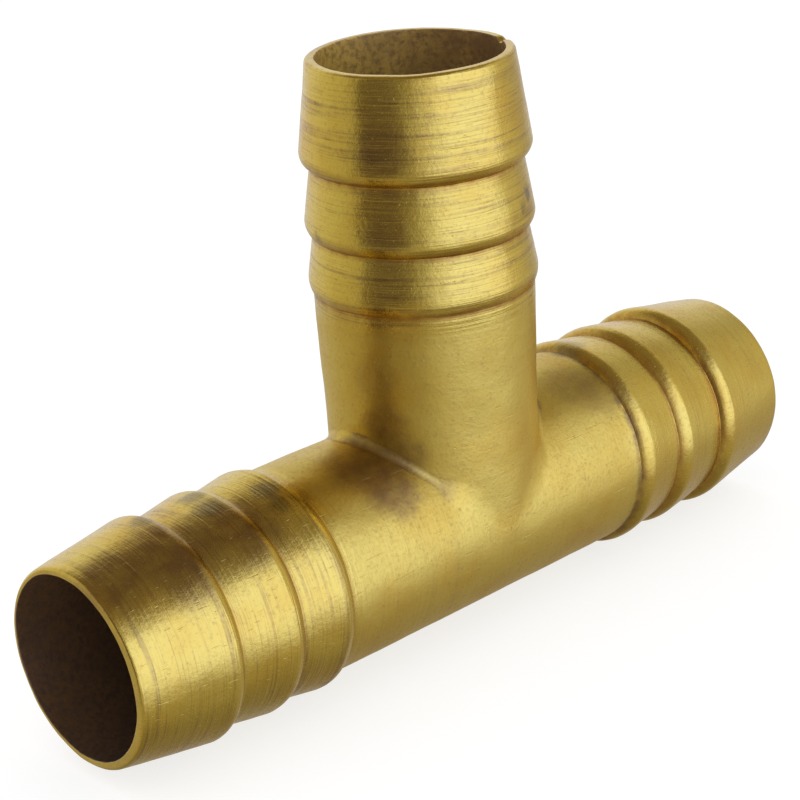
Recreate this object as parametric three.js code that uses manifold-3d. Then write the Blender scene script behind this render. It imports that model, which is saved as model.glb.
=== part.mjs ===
// Barbed tee connector for 19 mm (3/4 in) garden and irrigation hose, in brass.
// A straight tube, barbed at both ends, carries a shorter barbed tube on its side. The side tube's foot is
// coped to sit on the run, and a ring of brazing filler joins the two.
// Millimetres, +Z up. The run lies along X and rests on its fattest barbs at z = 0. The branch points up.
// The origin is under the middle of the run.
import * as THREE from "three";
import { mergeVertices, toCreasedNormals } from "three/addons/utils/BufferGeometryUtils.js";
import { ParametricGeometry } from "three/addons/geometries/ParametricGeometry.js";
import Module from "manifold-3d";

// ---- Driving dimensions ----

const runLength = 83.8; // mouth to mouth
const branchReach = 44.6; // run axis to the branch's mouth
const branchOffset = 1.1; // the branch stands this far from the middle of the run, towards +X

const bodyRadius = 10; // plain middle of the run
const wall = 1.5; // plain middle to bore
const branchSwell = 0.3; // the branch's plain body is this much fatter than the run's, in radius
const holeLedge = 0.5; // the run's side hole is drilled this much under the branch's bore, in radius

// One hose tail, from its mouth inwards. Rises are counted from the plain body of the run.
const barbs = [
  { crestFromMouth: 8.7, crestRise: 0.6, rootRise: -0.2 },
  { crestFromMouth: 15.4, crestRise: 0.6, rootRise: 0 },
  { crestFromMouth: 21.2, crestRise: 0.75, rootRise: 0 },
];
const shoulderLength = 1.25; // from a crest down to the root behind it
const runNoseStep = 0.8; // a run mouth's lip is this much under the plain body, in radius
const branchNoseStep = 0.5; // the same for the branch's mouth
const lipRounding = 0.35; // where a lip turns from its flat ring to its cone
const crestRounding = 0.6;
const rootRounding = 0.35;

const jointGap = 0.3; // between the filler and each tube
const fillerThickness = 0.4; // filler between the run and the branch's foot
const filletLeg = 1.6; // how far the filler climbs the branch and spreads over the run

// Facets
const aroundTube = 48;
const aroundFiller = 72;
const acrossFillet = 4;
const roundingSteps = 2;

// ---- Sizes that follow ----

const boreRadius = bodyRadius - wall;
const branchBodyRadius = bodyRadius + branchSwell;
const sideHoleRadius = boreRadius - holeLedge;
const fillerFloor = bodyRadius + jointGap; // radii round the run's axis
const fillerTop = fillerFloor + fillerThickness;
const footRadius = fillerTop + jointGap;
const overcut = 2; // how far a cutting solid runs past what it cuts

// ---- Solids ----

const wasm = await Module();
wasm.setup();

// A closed geometry as a solid that can be cut and joined. Triangles that a merge has collapsed are dropped.
function solidOf(geometry) {
  const positions = new THREE.BufferGeometry();
  positions.setAttribute("position", geometry.getAttribute("position"));
  positions.setIndex(geometry.getIndex());
  const merged = mergeVertices(positions);
  const corners = merged.index.array;
  const kept = [];
  for (let i = 0; i < corners.length; i += 3) {
    const [a, b, c] = corners.subarray(i, i + 3);
    if (a !== b && b !== c && c !== a) kept.push(a, b, c);
  }
  const mesh = new wasm.Mesh({
    numProp: 3,
    vertProperties: merged.attributes.position.array,
    triVerts: new Uint32Array(kept),
  });
  return new wasm.Manifold(mesh);
}

// A solid as a named mesh, with a crease wherever two facets meet at a sharp angle.
function meshOf(solid, name, material) {
  const { vertProperties, triVerts } = solid.getMesh();
  const geometry = new THREE.BufferGeometry();
  geometry.setAttribute("position", new THREE.BufferAttribute(vertProperties, 3));
  geometry.setIndex(new THREE.BufferAttribute(triVerts, 1));
  const mesh = new THREE.Mesh(toCreasedNormals(geometry, THREE.MathUtils.degToRad(15)), material);
  mesh.name = name;
  return mesh;
}

// The closed outline of a tube wall, turned round the Z axis. Its points are (radius, place along the axis).
function turned(outline) {
  const loop = [...outline, outline[0]];
  return new THREE.LatheGeometry(loop, aroundTube).rotateX(Math.PI / 2);
}

// Every outline corner with a rounding becomes a short arc that starts that far from the corner.
function roundedOutline(corners) {
  const points = [corners[0].point];
  for (let i = 1; i < corners.length - 1; i += 1) {
    const [before, { point, rounding }, after] = corners.slice(i - 1, i + 2);
    const start = pointBeside(point, before.point, rounding);
    const end = pointBeside(point, after.point, rounding);
    points.push(...new THREE.QuadraticBezierCurve(start, point, end).getPoints(roundingSteps));
  }
  return [...points, corners.at(-1).point];
}

// The point at a distance from a corner along one of its sides, never as far as the side's middle.
function pointBeside(corner, neighbour, distance) {
  const side = corner.distanceTo(neighbour);
  return corner.clone().lerp(neighbour, Math.min(distance / side, 0.45));
}

// The outside of one hose tail, from the mouth in to the plain body. A point's x is its radius and its y is
// its distance from the mouth. The growth is added to every radius.
function tailOutline(noseRadius, plainRadius, growth = 0) {
  const corner = (radius, fromMouth, rounding) => ({
    point: new THREE.Vector2(radius + growth, fromMouth),
    rounding,
  });
  const corners = [
    { point: new THREE.Vector2(boreRadius, 0) },
    corner(noseRadius, 0, lipRounding),
  ];
  barbs.forEach(({ crestFromMouth, crestRise, rootRise }, i) => {
    const innermost = i === barbs.length - 1;
    const rootRadius = innermost ? plainRadius : bodyRadius + rootRise;
    corners.push(corner(bodyRadius + crestRise, crestFromMouth, crestRounding));
    corners.push(corner(rootRadius, crestFromMouth + shoulderLength, rootRounding));
  });
  const tailEnd = barbs.at(-1).crestFromMouth + 2 * shoulderLength;
  corners.push(corner(plainRadius, tailEnd));
  return roundedOutline(corners);
}

const placed = (outline, toAxis) => outline.map((p) => new THREE.Vector2(p.x, toAxis(p.y)));

// A round bar along Z between two heights.
function bar(radius, low, high) {
  const bottomToTop = [
    new THREE.Vector2(0, low),
    new THREE.Vector2(radius, low),
    new THREE.Vector2(radius, high),
    new THREE.Vector2(0, high),
  ];
  return new THREE.LatheGeometry(bottomToTop, aroundTube).rotateX(Math.PI / 2);
}

// From the Z axis to the run's axis, X.
const alongRun = (geometry) => geometry.rotateY(Math.PI / 2);

// ---- The run: a straight tube, barbed at both ends, with the side hole under the branch ----

const halfRun = runLength / 2;
const runTail = (growth) => tailOutline(bodyRadius - runNoseStep, bodyRadius, growth);

function runBlank(growth = 0) {
  const tail = runTail(growth);
  const upperEnd = placed(tail, (y) => halfRun - y).reverse();
  const lowerEnd = placed(tail, (y) => y - halfRun);
  return solidOf(alongRun(turned([...lowerEnd, ...upperEnd])));
}

function runTube() {
  const sideHole = bar(sideHoleRadius, 0, bodyRadius + overcut).translate(branchOffset, 0, 0);
  return runBlank().subtract(solidOf(sideHole));
}

// ---- The branch: a tube barbed at its mouth, its foot coped to the run ----

function branchWall(innerRadius, outerRadius, tail) {
  const foot = [new THREE.Vector2(outerRadius, 0), new THREE.Vector2(innerRadius, 0)];
  const outline = [...foot, ...placed(tail, (y) => branchReach - y)].reverse();
  return turned(outline).translate(branchOffset, 0, 0);
}

function coped(geometry, copeRadius) {
  const cope = alongRun(bar(copeRadius, -halfRun, halfRun));
  return solidOf(geometry).subtract(solidOf(cope));
}

function branchTube() {
  const tail = tailOutline(bodyRadius - branchNoseStep, branchBodyRadius);
  return coped(branchWall(boreRadius, branchBodyRadius, tail), footRadius);
}

// ---- The filler: a saddle ring under the branch's foot, with a fillet on its outside ----

// Height of a cylinder round the run's axis, over a point at a radius and angle from the branch's axis.
function saddleHeight(cylinderRadius, radius, angle) {
  const across = radius * Math.sin(angle);
  return Math.sqrt(Math.max(cylinderRadius ** 2 - across ** 2, 0));
}

// One section of the ring, at an angle round the branch: the hollow fillet from its toe on the branch to its
// toe on the run, then in under the foot. The fillet dies away where the two tubes run into each other.
function fillerSection(angle) {
  const at = (radius, height) =>
    new THREE.Vector3(radius * Math.cos(angle), radius * Math.sin(angle), height);
  const leg = filletLeg * Math.cos(angle) ** 2;
  const toeRadius = branchBodyRadius + leg;
  const upperToe = at(branchBodyRadius, saddleHeight(fillerTop, branchBodyRadius, angle) + leg);
  const corner = at(branchBodyRadius, saddleHeight(fillerFloor, branchBodyRadius, angle));
  const lowerToe = at(toeRadius, saddleHeight(fillerFloor, toeRadius, angle));
  const fillet = new THREE.QuadraticBezierCurve3(upperToe, corner, lowerToe).getPoints(acrossFillet);
  const innerLow = at(boreRadius, saddleHeight(fillerFloor, boreRadius, angle));
  const innerHigh = at(boreRadius, saddleHeight(fillerTop, boreRadius, angle) + overcut);
  return [...fillet, innerLow, innerHigh, upperToe];
}

function brazeFillet() {
  const sides = acrossFillet + 3;
  const ringPoint = (along, around, target) => {
    const section = fillerSection(-along * 2 * Math.PI);
    target.copy(section[Math.round(around * sides)]);
  };
  const ring = new ParametricGeometry(ringPoint, aroundFiller, sides).translate(branchOffset, 0, 0);
  const innerRadius = boreRadius - jointGap;
  const outerRadius = branchBodyRadius + jointGap;
  const grownBranch = bar(outerRadius, 0, branchReach).translate(branchOffset, 0, 0);
  const keptBore = bar(innerRadius, 0, branchReach).translate(branchOffset, 0, 0);
  const branchSpace = coped(grownBranch, fillerTop).subtract(solidOf(keptBore));
  const runSpace = runBlank(jointGap).add(solidOf(alongRun(bar(fillerFloor, -halfRun / 2, halfRun / 2))));
  return solidOf(ring).subtract(branchSpace).subtract(runSpace);
}

// ---- The tee ----

const turnedBrass = new THREE.MeshStandardMaterial({ color: 0xb39a48, metalness: 1, roughness: 0.35 });
const fillerBrass = new THREE.MeshStandardMaterial({ color: 0x9c7c36, metalness: 1, roughness: 0.45 });

const tee = new THREE.Group();
tee.add(
  meshOf(runTube(), "run_tube", turnedBrass),
  meshOf(branchTube(), "branch_tube", turnedBrass),
  meshOf(brazeFillet(), "braze_fillet", fillerBrass),
);

// The run's axis is lifted so that its fattest crests touch z = 0.
const fattest = Math.max(...runTail().map((p) => p.x));
tee.children.forEach((mesh) => mesh.position.setZ(fattest));

export default tee;
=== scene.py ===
"""A brass hose tee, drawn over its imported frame. Metres, +Z up, the run along X and the branch along +Z."""

import math

import bmesh
import bpy
from mathutils import Matrix, Vector, noise


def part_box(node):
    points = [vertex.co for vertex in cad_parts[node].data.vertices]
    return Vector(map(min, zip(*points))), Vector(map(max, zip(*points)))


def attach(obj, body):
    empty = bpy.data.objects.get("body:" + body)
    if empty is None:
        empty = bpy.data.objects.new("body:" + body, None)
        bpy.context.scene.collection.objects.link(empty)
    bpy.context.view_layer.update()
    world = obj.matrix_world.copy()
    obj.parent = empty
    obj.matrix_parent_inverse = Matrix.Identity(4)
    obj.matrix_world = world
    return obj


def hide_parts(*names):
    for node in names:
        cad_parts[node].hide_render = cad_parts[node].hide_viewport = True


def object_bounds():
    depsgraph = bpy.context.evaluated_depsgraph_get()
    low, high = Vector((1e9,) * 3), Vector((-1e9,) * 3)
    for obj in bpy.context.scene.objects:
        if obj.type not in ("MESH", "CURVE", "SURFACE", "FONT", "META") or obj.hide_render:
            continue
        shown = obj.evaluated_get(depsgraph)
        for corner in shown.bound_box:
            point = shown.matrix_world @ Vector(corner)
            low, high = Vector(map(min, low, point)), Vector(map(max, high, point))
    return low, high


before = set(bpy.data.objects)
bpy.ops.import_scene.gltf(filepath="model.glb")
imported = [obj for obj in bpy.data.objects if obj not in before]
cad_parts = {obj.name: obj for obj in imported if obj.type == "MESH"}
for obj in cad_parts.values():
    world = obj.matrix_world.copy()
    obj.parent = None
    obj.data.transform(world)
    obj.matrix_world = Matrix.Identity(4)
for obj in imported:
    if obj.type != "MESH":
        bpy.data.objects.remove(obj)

cad_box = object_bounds()

# ---- The run ----
# A straight length of brass tube. Both ends are turned to hose tails of three rounded barbs, and the
# middle is left plain. A hole is drilled in its side, under the branch.

mm = 0.001
run_low, run_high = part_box("run_tube")
run_axis_height = (run_low.z + run_high.z) / 2
half_run = run_high.x
body_radius = 10.0 * mm
bore_radius = 8.5 * mm
side_hole_radius = 8.0 * mm
around_tube = 192
longest_step = 0.55 * mm

# One barb: crest's distance from the mouth, crest radius, root radius behind it, and crest to root.
run_barbs = [
    (8.7 * mm, 10.62 * mm, 9.8 * mm, 1.25 * mm),
    (15.4 * mm, 10.6 * mm, 10.0 * mm, 1.3 * mm),
    (21.2 * mm, 10.65 * mm, 10.0 * mm, 1.3 * mm),
]
left_tail_lag = 0.4 * mm  # the left end's barbs are this much further in
tail_end = 22.5 * mm  # where the turning stops
plain_from_last_crest = 3 * mm
root_rounding = 0.1 * mm
root_land = 0.5 * mm  # from a root on to where the next cone is aimed
root_land_rise = 0.03 * mm
past_root = 0.12 * mm
bore_edge_rounding = 0.12 * mm
bore_start = 5 * mm  # how far inside the mouth a tail's outline starts
degrees_a_step = 7
crest_steps = 12
sliver = 0.003 * mm  # edges shorter than this are merged after a cut


def rounded_corner(before, corner, after, radius):
    """Points of the arc of this radius that is tangent to both sides of an outline's corner."""
    to_before = (before - corner).normalized()
    to_after = (after - corner).normalized()
    half_angle = to_before.angle(to_after) / 2
    reach = radius / math.tan(half_angle)
    limit = 0.45 * min((before - corner).length, (after - corner).length)
    radius *= min(1, limit / reach)
    reach = min(reach, limit)
    centre = corner + (to_before + to_after).normalized() * (radius / math.sin(half_angle))
    start = corner + to_before * reach - centre
    end = corner + to_after * reach - centre
    swept = start.angle(end)
    steps = max(3, round(math.degrees(swept) / degrees_a_step))
    points = []
    for step in range(steps + 1):
        share = step / steps
        along = (start * math.sin((1 - share) * swept) + end * math.sin(share * swept)) / math.sin(swept)
        points.append(centre + along)
    return points


def crest_arc(before, place, crest_radius, root_radius, length):
    """A barb's round crest: it leaves the cone from the point before it, and drops to the root."""
    drop = crest_radius - root_radius
    rounding = (length ** 2 + drop ** 2) / (2 * drop)
    centre = Vector((crest_radius - rounding, place, 0))
    away = before - centre
    cone_angle = math.atan2(-away.y, away.x) - math.acos(rounding / away.length)
    root_angle = -math.asin(length / rounding)
    points = []
    for step in range(crest_steps + 1):
        angle = cone_angle + (root_angle - cone_angle) * step / crest_steps
        points.append(centre + Vector((math.cos(angle), -math.sin(angle), 0)) * rounding)
    return points


def tail_outline(barbs, bore, lip_radius, lip_rounding, plain_radius):
    """The wall's outline at one hose tail, from the bore round the lip and over the barbs to the plain tube.
    Points are (radius, distance from the mouth, 0)."""
    inside = Vector((bore, bore_start, 0))
    edge = Vector((bore, 0, 0))
    lip = Vector((lip_radius, 0, 0))
    first_crest = Vector((barbs[0][1], barbs[0][0], 0))
    outline = [inside] + rounded_corner(inside, edge, lip, bore_edge_rounding)
    outline += rounded_corner(edge, lip, first_crest, lip_rounding)
    for place, crest_radius, root_radius, length in barbs:
        last = place == barbs[-1][0]
        if last:
            root_radius = plain_radius
        arc = crest_arc(outline[-1], place, crest_radius, root_radius, length)
        rise = 0 if last else root_land_rise
        beyond = Vector((root_radius + rise, place + length + root_land, 0))
        outline += arc[:-1] + rounded_corner(arc[-2], arc[-1], beyond, root_rounding)
        outline.append(outline[-1] + (beyond - arc[-1]).normalized() * past_root)
    outline.append(Vector((plain_radius, barbs[-1][0] + plain_from_last_crest, 0)))
    return outline


def with_fine_steps(outline, longest):
    """The outline with its long straight stretches divided."""
    fine = [outline[0]]
    for point in outline[1:]:
        count = max(1, math.ceil((point - fine[-1]).length / longest))
        start = fine[-1]
        fine += [start.lerp(point, (i + 1) / count) for i in range(count)]
    return fine


def as_object(shape, name):
    """The finished shape as an object in the scene."""
    mesh = bpy.data.meshes.new(name)
    shape.to_mesh(mesh)
    shape.free()
    piece = bpy.data.objects.new(name, mesh)
    bpy.context.scene.collection.objects.link(piece)
    return piece


def spun(shape, outline, axis, steps):
    """Spins a closed outline of points once round an axis through the origin."""
    corners = [shape.verts.new(point) for point in outline]
    edges = [shape.edges.new((a, b)) for a, b in zip(corners, corners[1:] + corners[:1])]
    bmesh.ops.spin(shape, geom=corners + edges, cent=(0, 0, 0), axis=axis, dvec=(0, 0, 0),
                   angle=2 * math.pi, steps=steps, use_merge=True)


def smooth_outwards(shape):
    """Turns every face outwards and shades it smooth."""
    bmesh.ops.recalc_face_normals(shape, faces=shape.faces)
    for face in shape.faces:
        face.smooth = True


def turned(outline, axis, name):
    """A closed outline spun into a tube wall. Its points are in a plane that holds the axis."""
    shape = bmesh.new()
    spun(shape, outline, axis, around_tube)
    smooth_outwards(shape)
    return as_object(shape, name)


def cut_by(piece, cutter):
    """Takes the cutter's volume out of the piece, and removes the cutter."""
    cut = piece.modifiers.new("cut", "BOOLEAN")
    cut.object = cutter
    cut.operation = "DIFFERENCE"
    cut.solver = "EXACT"
    bpy.context.view_layer.update()
    finished = bpy.data.meshes.new_from_object(piece.evaluated_get(bpy.context.evaluated_depsgraph_get()))
    piece.modifiers.clear()

    # The cut leaves slivers where it runs beside an edge.
    shape = bmesh.new()
    shape.from_mesh(finished)
    bmesh.ops.remove_doubles(shape, verts=shape.verts[:], dist=sliver)
    bmesh.ops.dissolve_degenerate(shape, dist=sliver, edges=shape.edges[:])
    bmesh.ops.triangulate(shape, faces=[face for face in shape.faces if len(face.verts) > 4])
    shape.to_mesh(finished)
    shape.free()
    piece.data = finished
    bpy.data.objects.remove(cutter)


def round_bar(radius, length, place):
    """A plain bar, used as a cutter. The place carries it from standing on Z = 0."""
    shape = bmesh.new()
    bmesh.ops.create_cone(shape, cap_ends=True, segments=around_tube, radius1=radius, radius2=radius,
                          depth=length, matrix=place @ Matrix.Translation((0, 0, length / 2)))
    return as_object(shape, "cutter")


def new_material(name):
    """A material, its node tree and its surface shader."""
    material = bpy.data.materials.new(name)
    material.use_nodes = True
    tree = material.node_tree
    return material, tree, tree.nodes["Principled BSDF"]


def add_node(tree, kind, inputs=(), **settings):
    """A node with its settings, and its first inputs linked to a socket or set to a value."""
    node = tree.nodes.new(kind)
    for name, value in settings.items():
        setattr(node, name, value)
    for socket, value in zip(node.inputs, inputs):
        if value is None:
            continue
        if isinstance(value, bpy.types.NodeSocket):
            tree.links.new(value, socket)
        else:
            socket.default_value = value
    return node


def add_math(tree, operation, first, second=None):
    """A sum or other operation on two numbers or sockets."""
    return add_node(tree, "ShaderNodeMath", [first, second], operation=operation).outputs[0]


def add_range(tree, value, from_low, from_high, to_low=0, to_high=1, smooth=False):
    """The value carried from one range to another, and held at its ends."""
    kind = "SMOOTHSTEP" if smooth else "LINEAR"
    inputs = [value, from_low, from_high, to_low, to_high]
    return add_node(tree, "ShaderNodeMapRange", inputs, interpolation_type=kind).outputs[0]


def add_ramp(tree, share, stops):
    """Colours by a share of 0 to 1. Each stop is (share, (red, green, blue))."""
    ramp = add_node(tree, "ShaderNodeValToRGB", [share])
    elements = ramp.color_ramp.elements
    while len(elements) < len(stops):
        elements.new(1)
    for element, (place, colour) in zip(elements, stops):
        element.position = place
        element.color = (*colour, 1)
    return ramp.outputs[0]


def add_mix(tree, share, first, second):
    """A colour between two colours. Either may be a socket."""
    mix = add_node(tree, "ShaderNodeMix", data_type="RGBA")
    for name, value in (("Factor_Float", share), ("A_Color", first), ("B_Color", second)):
        socket = next(s for s in mix.inputs if s.identifier == name)
        if isinstance(value, bpy.types.NodeSocket):
            tree.links.new(value, socket)
        else:
            socket.default_value = value if name == "Factor_Float" else (*value, 1)
    return next(s for s in mix.outputs if s.identifier == "Result_Color")


def add_noise(tree, vector, scale, detail=3, roughness=0.55):
    return add_node(tree, "ShaderNodeTexNoise", [vector, None, scale, detail, roughness]).outputs["Fac"]


def sized(tree, vector, factors):
    """A vector with each of its parts scaled."""
    return add_node(tree, "ShaderNodeVectorMath", [vector, factors], operation="MULTIPLY").outputs[0]


def millimetres_from(tree, centre):
    """The place on the piece, counted in millimetres from a centre."""
    coordinates = add_node(tree, "ShaderNodeTexCoord").outputs["Object"]
    offset = add_node(tree, "ShaderNodeVectorMath", [coordinates, centre], operation="SUBTRACT").outputs[0]
    return sized(tree, offset, (1 / mm,) * 3)


def add_bump(tree, height, shader):
    """Raises the surface by a height in millimetres."""
    bump = add_node(tree, "ShaderNodeBump", [1.0, mm, None, height])
    tree.links.new(bump.outputs[0], shader.inputs["Normal"])


# The warp's two waves: turns to a millimetre, and reach in millimetres. Any seed but 0 gives the same noise
# in every run.
warp_waves = [(0.3, 0.05), (1.1, 0.015)]
noise.seed_set(5)


def worn(piece):
    """Warps the finished piece by a few hundredths of a millimetre, so that its highlights waver. The same
    warp runs through all the pieces, so they still meet. Nothing leaves the frame's box."""
    low, high = (Vector(corner) for corner in cad_box)
    warped = []
    for corner in piece.data.vertices:
        place = corner.co / mm
        shift = sum((noise.noise_vector(place * turns) * reach for turns, reach in warp_waves), Vector())
        spot = corner.co + shift * mm
        warped += [min(max(value, lowest), highest) for value, lowest, highest in zip(spot, low, high)]
    piece.data.vertices.foreach_set("co", warped)
    piece.data.update()


def add_spot(tree, place, centre, radius):
    """1 inside a round patch, fading to 0 at its edge."""
    away = add_node(tree, "ShaderNodeVectorMath", [place, centre], operation="DISTANCE").outputs["Value"]
    return add_range(tree, away, radius, radius * 0.35, smooth=True)


def line_bore(piece, axis, centre, material):
    """Gives the material to the faces that look towards the piece's axis."""
    piece.data.materials.append(material)
    facing_in = math.cos(math.radians(120))
    for face in piece.data.polygons:
        outwards = face.center - centre
        outwards["XYZ".index(axis)] = 0
        if face.normal.dot(outwards.normalized()) < facing_in:
            face.material_index = 1


def bore_brass(name, centre, clean, oxide, lightest_place):
    """The dull bore: brown oxide, thinner in specks, and lighter round one place. That place is in
    millimetres from the centre."""
    material, tree, shader = new_material(name)
    place = millimetres_from(tree, centre)
    specks = add_noise(tree, place, 1.9, 4, 0.65)
    clouds = add_noise(tree, place, 0.28, 3, 0.55)
    bare_specks = add_math(tree, "MULTIPLY", add_range(tree, specks, 0.36, 0.6),
                           add_range(tree, clouds, 0.35, 0.6, 0.05, 0.3))
    away = add_node(tree, "ShaderNodeVectorMath", [place, lightest_place], operation="DISTANCE").outputs["Value"]
    near = add_range(tree, away, 17, 5, 0, 0.75, smooth=True)
    lighter_near_place = add_math(tree, "MULTIPLY", near, add_range(tree, specks, 0.36, 0.56, 0.45, 1))
    bare = add_math(tree, "ADD", bare_specks, lighter_near_place)
    tree.links.new(add_mix(tree, bare, oxide, clean), shader.inputs["Base Color"])
    shader.inputs["Metallic"].default_value = 0.3
    tree.links.new(add_range(tree, specks, 0.3, 0.7, 0.5, 0.36), shader.inputs["Roughness"])
    add_bump(tree, add_math(tree, "MULTIPLY", specks, 0.05), shader)
    return material


yellow_brass = (0.72, 0.535, 0.088)
warm_brass = (0.69, 0.47, 0.066)
# Tarnish brown, also used for the painted shade of the brown films.
tarnish_and_shade_brown = (0.30, 0.18, 0.06)
root_brown = (0.42, 0.19, 0.035)
olive_stain = (0.26, 0.20, 0.075)


def worked_brass(name, axis, centre, barbs, shade_and_tarnish_films, stains=(), plain_lines=0, lines_by_end=None,
                 roots_by_end=None, stained_ring=None):
    """Brass with the marks of its making and of its store, and with painted shade. Rings from turning cover
    the tails, and plain_lines is how much of them is left on the plain tube. The by_end pairs are how strong
    the rings and the tarnish in the roots are at the left and at the right. A brown film or a stained patch
    is its centre, its radius and its strength; the brown films are partly tarnish and partly painted shade.
    The stained ring is a line of grime round the run, at a place along it. Places are in millimetres from the
    centre."""
    material, tree, shader = new_material(name)
    place = millimetres_from(tree, centre)
    along = add_node(tree, "ShaderNodeSeparateXYZ", [place]).outputs["XYZ".index(axis)]
    mouth_at = (half_run if axis == "X" else branch_reach) / mm
    from_mouth = add_math(tree, "SUBTRACT", mouth_at, add_math(tree, "ABSOLUTE", along))
    lag = add_range(tree, along, -1, 1, left_tail_lag / mm, 0)
    from_mouth = add_math(tree, "SUBTRACT", from_mouth, lag)

    def ringed(ring_scale, fade_scale):
        scales = [fade_scale] * 3
        scales["XYZ".index(axis)] = ring_scale
        return add_noise(tree, sized(tree, place, scales), 1, 3, 0.6)

    def from_left_to_right(left, right):
        return add_range(tree, along, -10, 10, left, right)

    coarse_rings = ringed(1.9, 0.045)
    fine_rings = ringed(5.5, 0.12)
    pits = add_noise(tree, place, 3.0, 3, 0.6)
    mottle = add_noise(tree, place, 0.75, 4, 0.6)
    patches = add_noise(tree, place, 0.17, 3, 0.55)
    on_tail = add_range(tree, from_mouth, tail_end / mm + 1, tail_end / mm, plain_lines, 1)
    if lines_by_end is not None:
        on_tail = add_math(tree, "MULTIPLY", on_tail, from_left_to_right(*lines_by_end))

    # Fine scratches in two directions, each a few millimetres long.
    scratch_stretch = (0.28, 5, 5)
    both_ways = []
    for turn, shift in (((0.5, 0.2, 0.9), 3.0), ((0.9, 1.1, 0.1), 11.0)):
        inputs = [place, (shift, shift, 0), turn, scratch_stretch]
        turned_place = add_node(tree, "ShaderNodeMapping", inputs).outputs[0]
        both_ways.append(add_range(tree, add_noise(tree, turned_place, 1, 1, 0.4), 0.735, 0.80))
    scratches = add_math(tree, "MAXIMUM", *both_ways)

    colour = add_mix(tree, add_range(tree, patches, 0.42, 0.66), yellow_brass, warm_brass)
    freckles = add_range(tree, pits, 0.56, 0.74, 0, 0.32)
    colour = add_mix(tree, freckles, colour, tarnish_and_shade_brown)
    coarse_lines = add_range(tree, coarse_rings, 0.54, 0.72)
    fine_lines = add_range(tree, fine_rings, 0.54, 0.74)
    dark_rings = add_math(tree, "ADD", coarse_lines, fine_lines)
    patchy_rings = add_math(tree, "MULTIPLY", dark_rings, add_range(tree, mottle, 0.35, 0.6, 0.3, 0.7))
    ring_tarnish = add_math(tree, "MULTIPLY", patchy_rings, on_tail)
    colour = add_mix(tree, ring_tarnish, colour, tarnish_and_shade_brown)

    # Tarnish gathers in the roots, behind each crest. A level is how much of it lies at a distance from the
    # root, towards the plain tube, and the ramp spans the first 30 mm from the mouth.
    levels_by_root = ((-0.85, 0), (-0.3, 0.55), (0, 1), (0.5, 0))
    ramp_span = 30
    stops = [(((crest + length) / mm + past_root_by) / ramp_span, (level, level, level))
             for crest, _, _, length in barbs for past_root_by, level in levels_by_root]
    in_roots = add_ramp(tree, add_math(tree, "MULTIPLY", from_mouth, 1 / ramp_span), stops)
    root_share = add_math(tree, "MULTIPLY", in_roots, add_range(tree, mottle, 0.3, 0.62, 0.35, 1))
    if roots_by_end is not None:
        root_share = add_math(tree, "MULTIPLY", root_share, from_left_to_right(*roots_by_end))
    colour = add_mix(tree, add_math(tree, "MULTIPLY", root_share, 0.85), colour, root_brown)

    # Brown films, partly tarnish and partly painted shade, and dark stains lie in patches with ragged edges.
    warp = add_node(tree, "ShaderNodeTexNoise", [place, None, 0.6, 3, 0.6]).outputs["Color"]
    middle = (0.5, 0.5, 0.5)
    centred = add_node(tree, "ShaderNodeVectorMath", [warp, middle], operation="SUBTRACT").outputs[0]
    raggedness = sized(tree, centred, (2.2, 2.2, 2.2))
    ragged = add_node(tree, "ShaderNodeVectorMath", [raggedness, place], operation="ADD").outputs[0]
    for patch_centre, radius, strength in shade_and_tarnish_films:
        shade_and_tarnish_film = add_math(tree, "MULTIPLY", add_spot(tree, ragged, patch_centre, radius), strength)
        shade_and_tarnish_film = add_math(tree, "MULTIPLY", shade_and_tarnish_film, add_range(tree, mottle, 0.25, 0.6, 0.55, 1))
        colour = add_mix(tree, shade_and_tarnish_film, colour, tarnish_and_shade_brown)
    for patch_centre, radius, strength in stains:
        stain = add_math(tree, "MULTIPLY", add_spot(tree, ragged, patch_centre, radius), strength)
        colour = add_mix(tree, stain, colour, olive_stain)

    if stained_ring is not None:
        off_ring = add_math(tree, "ABSOLUTE", add_math(tree, "SUBTRACT", along, stained_ring))
        patchy = add_range(tree, mottle, 0.3, 0.6)
        ring_share = add_math(tree, "MULTIPLY", add_range(tree, off_ring, 0.6, 0.2), patchy)
        colour = add_mix(tree, add_math(tree, "MULTIPLY", ring_share, 0.65), colour, olive_stain)
    tree.links.new(colour, shader.inputs["Base Color"])
    shader.inputs["Metallic"].default_value = 1

    # The plain tube is satin, and the tails are a little brighter.
    dull = add_range(tree, pits, 0.35, 0.75, 0.2, 0.33)
    satin = add_range(tree, from_mouth, tail_end / mm, tail_end / mm + 1.5, 0, 0.16)
    dull = add_math(tree, "ADD", dull, satin)
    dull = add_math(tree, "ADD", dull, add_math(tree, "MULTIPLY", root_share, 0.15))
    tree.links.new(dull, shader.inputs["Roughness"])

    # Heights are in millimetres.
    height = add_math(tree, "MULTIPLY", coarse_rings, add_math(tree, "MULTIPLY", on_tail, 0.08))
    fine_depth = add_math(tree, "MULTIPLY", on_tail, 0.035)
    for pattern, depth in ((fine_rings, fine_depth), (pits, 0.012), (mottle, 0.03), (scratches, -0.012)):
        height = add_math(tree, "ADD", height, add_math(tree, "MULTIPLY", pattern, depth))
    add_bump(tree, height, shader)
    return material


branch_low, branch_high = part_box("branch_tube")
branch_x = (branch_low.x + branch_high.x) / 2
branch_reach = branch_high.z - run_axis_height
run_centre = Vector((0, 0, run_axis_height))
run_lip_radius = 9.2 * mm
run_lip_rounding = 0.45 * mm
left_barbs = [(place + left_tail_lag, *rest) for place, *rest in run_barbs]
left_tail = tail_outline(left_barbs, bore_radius, run_lip_radius, run_lip_rounding, body_radius)
right_tail = tail_outline(run_barbs, bore_radius, run_lip_radius, run_lip_rounding, body_radius)
left_end = [Vector((-half_run + p.y, p.x, 0)) for p in left_tail]
right_end = [Vector((half_run - p.y, p.x, 0)) for p in reversed(right_tail)]
run_tube = turned(with_fine_steps(left_end + right_end, longest_step), (1, 0, 0), "run_tube_turned")

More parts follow.
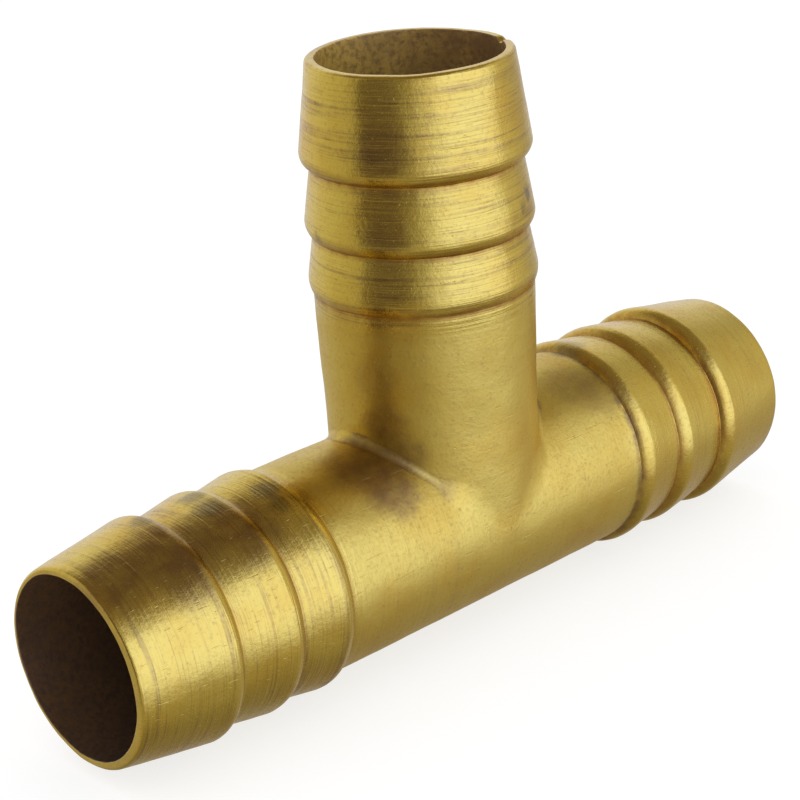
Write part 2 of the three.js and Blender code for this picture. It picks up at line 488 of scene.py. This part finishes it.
# The drill wandered a little before it came out at the left mouth. The lip keeps its place.
drill_wander = 0.3 * mm
lip_starts = run_lip_radius - 0.1 * mm
wander_from = half_run / 2
for corner in run_tube.data.vertices:
    radius = math.hypot(corner.co.y, corner.co.z)
    if radius < lip_starts and corner.co.x < -wander_from:
        share = (-corner.co.x - wander_from) / (half_run - wander_from)
        in_wall = min(1, (lip_starts - radius) / (lip_starts - bore_radius))
        corner.co.y += drill_wander * share ** 2 * in_wall

side_hole = round_bar(side_hole_radius, 2 * body_radius, Matrix.Translation((branch_x, 0, 0)))
cut_by(run_tube, side_hole)
run_tube.data.transform(Matrix.Translation(run_centre))
worn(run_tube)

run_stains = [
    ((-32.7, 0.6, 10.6), 2.2, 0.7),
    ((-27.0, 1.4, 10.4), 1.7, 0.75),
    ((-27.4, -1.2, 10.3), 1.9, 0.75),
    ((-21.6, -2.4, 10.2), 1.8, 0.75),
    ((-21.8, -4.2, 9.6), 1.5, 0.6),
    ((20.0, 0.0, 10.2), 2.4, 0.5),
]
# Brown films on the run: tarnish, and painted shade along the dark upper band where the run mirrors the dim
# ceiling.
run_tarnish_and_shade = [
    ((-11.5, -3.5, 9.4), 5.0, 0.8),
    ((-10.5, -6.5, 7.6), 4.0, 0.8),
    ((-33.5, -4.0, 9.8), 5.5, 0.85),
    ((-26.5, -4.5, 9.3), 5.5, 0.8),
    ((-39.4, -3.5, 8.9), 4.5, 0.8),
    ((-34.0, -7.0, 8.0), 4.0, 0.5),
    ((18.5, -6.0, 8.0), 4.0, 0.35),
    ((15.5, -4.5, 9.0), 4.0, 0.4),
]
run_brass = worked_brass("turned_brass_run", "X", run_centre, run_barbs, run_tarnish_and_shade, run_stains,
                         plain_lines=0.3, lines_by_end=(1, 0.3), roots_by_end=(0.4, 1), stained_ring=19.3)
run_bore = bore_brass("bore_brass_run", run_centre, clean=(0.13, 0.066, 0.026),
                      oxide=(0.046, 0.030, 0.023), lightest_place=(-41, 8.2, -1))
run_tube.data.materials.append(run_brass)
line_bore(run_tube, "X", run_centre, run_bore)
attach(run_tube, "root")
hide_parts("run_tube")

# ---- The branch ----
# A shorter tube with the same tail. Its foot is coped, cut to a saddle that sits on the run.

branch_body_radius = 10.3 * mm
branch_bore_radius = 8.6 * mm
branch_lip_radius = 9.5 * mm
branch_lip_rounding = 0.6 * mm
foot_sink = 0.02 * mm
branch_barbs = [
    (8.6 * mm, 10.66 * mm, 9.8 * mm, 1.25 * mm),
    (15.1 * mm, 10.62 * mm, 10.0 * mm, 1.2 * mm),
    (20.5 * mm, 10.65 * mm, 10.0 * mm, 1.25 * mm),
]
slimmer_below = 11 * mm
axes_crossing = Vector((branch_x, 0, run_axis_height))
branch_tail = tail_outline(branch_barbs, branch_bore_radius, branch_lip_radius, branch_lip_rounding,
                           branch_body_radius)
upper = [Vector((p.x, 0, branch_reach - p.y)) for p in branch_tail]
foot = [
    Vector((body_radius, 0, slimmer_below)),
    Vector((body_radius, 0, 0)),
    Vector((branch_bore_radius, 0, 0)),
]
branch_tube = turned(with_fine_steps(upper + foot, longest_step), (0, 0, 1), "branch_tube_turned")

# A small tear in the rim, left where the tool came off. It is placed by degrees round the branch.
tear_bearing = -25
tear_half_width = 5
tear_depth = 0.45 * mm
tear_fades_by = 0.6 * mm
for corner in branch_tube.data.vertices:
    below_rim = branch_reach - corner.co.z
    off_tear = abs(math.degrees(math.atan2(corner.co.y, corner.co.x)) - tear_bearing)
    if below_rim < tear_fades_by and off_tear < tear_half_width:
        notch = (1 - off_tear / tear_half_width) ** 0.5
        corner.co.z -= tear_depth * notch * (1 - below_rim / tear_fades_by)

cope = round_bar(body_radius - foot_sink, 3 * body_radius,
                 Matrix.Rotation(math.pi / 2, 4, "Y") @ Matrix.Translation((0, 0, -1.5 * body_radius)))
cut_by(branch_tube, cope)
branch_tube.data.transform(Matrix.Translation(axes_crossing))
worn(branch_tube)

branch_stains = [
    ((4.9, -8.8, 31.7), 1.2, 0.8),
    ((3.4, -9.6, 31.0), 0.8, 0.6),
    ((-10.0, 2.6, 29.2), 1.0, 0.5),
]
# Painted shade: brown films along the dark band where the branch mirrors the black card.
branch_painted_shade = [
    ((-9.4, -3.6, 12.5), 3.0, 0.55),
    ((-8.4, -5.6, 9.5), 2.6, 0.55),
    ((-9.6, -3.0, 16.5), 3.0, 0.35),
    ((-8.9, -5.0, 38.5), 3.4, 0.5),
    ((-8.9, -5.0, 30.0), 3.0, 0.4),
]
branch_brass = worked_brass("turned_brass_branch", "Z", axes_crossing, branch_barbs, branch_painted_shade,
                            branch_stains, plain_lines=0.12)
branch_bore = bore_brass("bore_brass_branch", axes_crossing, clean=(0.62, 0.41, 0.085),
                         oxide=(0.17, 0.09, 0.036), lightest_place=(-6, 7, 42))
branch_tube.data.materials.append(branch_brass)
line_bore(branch_tube, "Z", axes_crossing, branch_bore)
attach(branch_tube, "root")
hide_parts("branch_tube")

# ---- The braze ----
# Brass filler, flowed round the foot while hot. It is a tight hollow fillet in the two crotches, and opens
# out at the sides, where it was dressed smooth until the two tubes run into each other.

crotch_fillet_radius = 0.9 * mm
side_fillet_radius = 9 * mm
fillet_opens_at = 46  # degrees round the branch from a crotch
fillet_opens_over = 36
fillet_steps = 14
fillet_bury = 0.4 * mm
around_joint = 256

# Beyond the hollow face, each side has two rows of points that sink into the tube: distance and depth.
near_row = (0.3 * mm, 0.003 * mm)
far_row = (0.6 * mm, 0.04 * mm)

# Where the tubes run nearly into each other, a sliver of filler stands over them.
apex_proud = 0.012 * mm
apex_sweep = 0.25  # radians of hollow face, under which it starts to stand proud


def fillet_radius(angle):
    """The radius grows from the crotches to the sides, by degrees from the nearer crotch."""
    from_crotch = math.degrees(math.asin(min(1, abs(math.sin(angle)))))
    share = min(1, max(0, (from_crotch - fillet_opens_at) / fillet_opens_over))
    growth = side_fillet_radius - crotch_fillet_radius
    return crotch_fillet_radius + growth * share * share * (3 - 2 * share)


def on_branch(point, depth):
    """The point brought to a depth under the branch's surface."""
    flat = Vector((point.x, point.y, 0)).normalized() * (body_radius - depth)
    return Vector((flat.x, flat.y, point.z))


def on_run(point, depth):
    """The point brought to a depth under the run's surface."""
    flat = Vector((0, point.y, point.z)).normalized() * (body_radius - depth)
    return Vector((point.x, flat.y, flat.z))


def fillet_section(angle):
    """One section of the filler, where a ball is rolled round the joint. It starts inside the branch, runs
    down its hollow face to the inside of the run, and closes at a corner inside both."""
    radius = fillet_radius(angle)
    ball = body_radius + radius
    along, across = math.cos(angle), abs(math.cos(angle))
    centre = Vector((ball * along, ball * math.sin(angle), ball * across))
    to_branch = Vector((-along, -math.sin(angle), 0))
    to_run = Vector((0, -math.sin(angle), -across))
    swept = max(to_branch.angle(to_run), 1e-4)
    proud = apex_proud * (1 - min(1, swept / apex_sweep))
    face = []
    for step in range(fillet_steps + 1):
        share = step / fillet_steps
        way = to_branch * math.sin((1 - share) * swept) + to_run * math.sin(share * swept)
        face.append(centre + way / math.sin(swept) * (radius - proud))
    up = face[0] - face[1] + Vector((0, 0, 1e-9))
    out = face[-1] - face[-2] - Vector((0, 0, 1e-9))
    start = [on_branch(face[0] + up.normalized() * reach, depth) for reach, depth in (far_row, near_row)]
    end = [on_run(face[-1] + out.normalized() * reach, depth) for reach, depth in (near_row, far_row)]
    inside = body_radius - fillet_bury
    corner = Vector((inside * along, inside * math.sin(angle), inside * across))
    return start + face + end + [corner]


# A column of points is spun into a ring, and each point's height picks its place in the section.
section_size = len(fillet_section(0))
shape = bmesh.new()
spun(shape, [(body_radius, 0, step * mm) for step in range(section_size)], (0, 0, 1), around_joint)
for corner in shape.verts:
    corner.co = fillet_section(math.atan2(corner.co.y, corner.co.x))[round(corner.co.z / mm)]
bmesh.ops.remove_doubles(shape, verts=shape.verts, dist=0.0005 * mm)
smooth_outwards(shape)
braze = as_object(shape, "braze_fillet_flowed")
braze.data.transform(Matrix.Translation(axes_crossing))
worn(braze)

# Brown films on the filler: tarnish, and painted shade along the left crease that dims its highlight.
braze_tarnish_and_crease_shade = [
    ((-10.0, -1.0, 9.6), 3.2, 0.9),
    ((-8.8, -4.5, 8.8), 3.4, 0.9),
    ((-6.4, -7.4, 6.9), 3.4, 0.45),
    ((9.8, -4.0, 9.0), 3.2, 0.8),
    ((10.5, 2.0, 10.0), 3.0, 0.6),
    ((-10.5, 4.0, 9.6), 3.0, 0.6),
]
braze_metal = worked_brass("brazing_brass", "X", run_centre, run_barbs, braze_tarnish_and_crease_shade)
braze.data.materials.append(braze_metal)
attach(braze, "root")
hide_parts("braze_fillet")

# ---- The studio ----
# A plain white floor under soft light. The metal mirrors a ring of white screens round the table: the
# widest at the right of the camera, a black card at its left, and a dim ceiling.

floor_shape = bmesh.new()
bmesh.ops.create_grid(floor_shape, x_segments=1, y_segments=1, size=3)
floor = as_object(floor_shape, "floor")
floor.visible_glossy = False
white, _, white_shader = new_material("white_floor")
white_shader.inputs["Base Color"].default_value = (0.3, 0.3, 0.3, 1)
white_shader.inputs["Roughness"].default_value = 1
white_shader.inputs["Specular IOR Level"].default_value = 0
white_shader.inputs["Emission Color"].default_value = (1, 1, 1, 1)
white_shader.inputs["Emission Strength"].default_value = 0.75
floor.data.materials.append(white)

# Light round the table, by degrees from straight in front of the run (-Y) towards its right end (+X).
screens = [
    (-180, (0.85, 0.84, 0.9)),
    (-108, (0.52, 0.50, 0.5)),
    (-101, (0.15, 0.12, 0.15)),
    (-66, (0.15, 0.12, 0.15)),
    (-48, (0.34, 0.31, 0.3)),
    (-32, (0.8, 0.84, 1.3)),
    (-14, (1.3, 1.45, 2.8)),
    (46, (1.3, 1.45, 2.8)),
    (52, (0.72, 0.7, 0.8)),
    (100, (0.5, 0.48, 0.46)),
    (125, (0.85, 0.85, 0.95)),
    (155, (0.9, 0.9, 1.0)),
    (180, (0.85, 0.84, 0.9)),
]
ceiling_light = (0.25, 0.2, 0.17)
table_light = (0.44, 0.40, 0.38)
under_light = (0.26, 0.23, 0.2)
open_light = 1.05

world = bpy.data.worlds.new("studio")
bpy.context.scene.world = world
world.use_nodes = True
world.cycles.sampling_method = "NONE"
sky = world.node_tree
sky.nodes.clear()
direction = add_node(sky, "ShaderNodeTexCoord").outputs["Generated"]
x, y, z = add_node(sky, "ShaderNodeSeparateXYZ", [direction]).outputs
bearing = add_math(sky, "ARCTAN2", x, add_math(sky, "MULTIPLY", y, -1))
turn_share = add_range(sky, bearing, -math.pi, math.pi)
studio = add_ramp(sky, turn_share, [((angle + 180) / 360, brightness) for angle, brightness in screens])

# Above and below the screens, each light takes over between two elevations, in degrees.
elevation = add_math(sky, "ARCSINE", z)
takeovers = [(28, 55, ceiling_light), (-5, -36, table_light), (-36, -68, under_light)]
for from_angle, to_angle, beyond in takeovers:
    reached = add_range(sky, elevation, math.radians(from_angle), math.radians(to_angle), smooth=True)
    studio = add_mix(sky, reached, studio, beyond)

# Only mirrored rays see the screens. All other rays see one even light.
is_mirrored = add_node(sky, "ShaderNodeLightPath").outputs["Is Glossy Ray"]
light = add_mix(sky, is_mirrored, (open_light,) * 3, studio)
background = add_node(sky, "ShaderNodeBackground", [light])
sky.links.new(background.outputs[0], add_node(sky, "ShaderNodeOutputWorld").inputs[0])

camera_data = bpy.data.cameras.new("camera")
camera_data.sensor_width = 36
camera_data.lens = 102.3
camera = bpy.data.objects.new("camera", camera_data)
bpy.context.scene.collection.objects.link(camera)
camera.location = axes_crossing + Vector((-136.13, -146.77, 91.32)) * mm
camera.rotation_euler = [math.radians(angle) for angle in (68.119, 3.614, -43.444)]
camera_data.clip_start = 10 * mm
camera_data.clip_end = 20
bpy.context.scene.camera = camera
bpy.context.scene.view_settings.view_transform = "Standard"
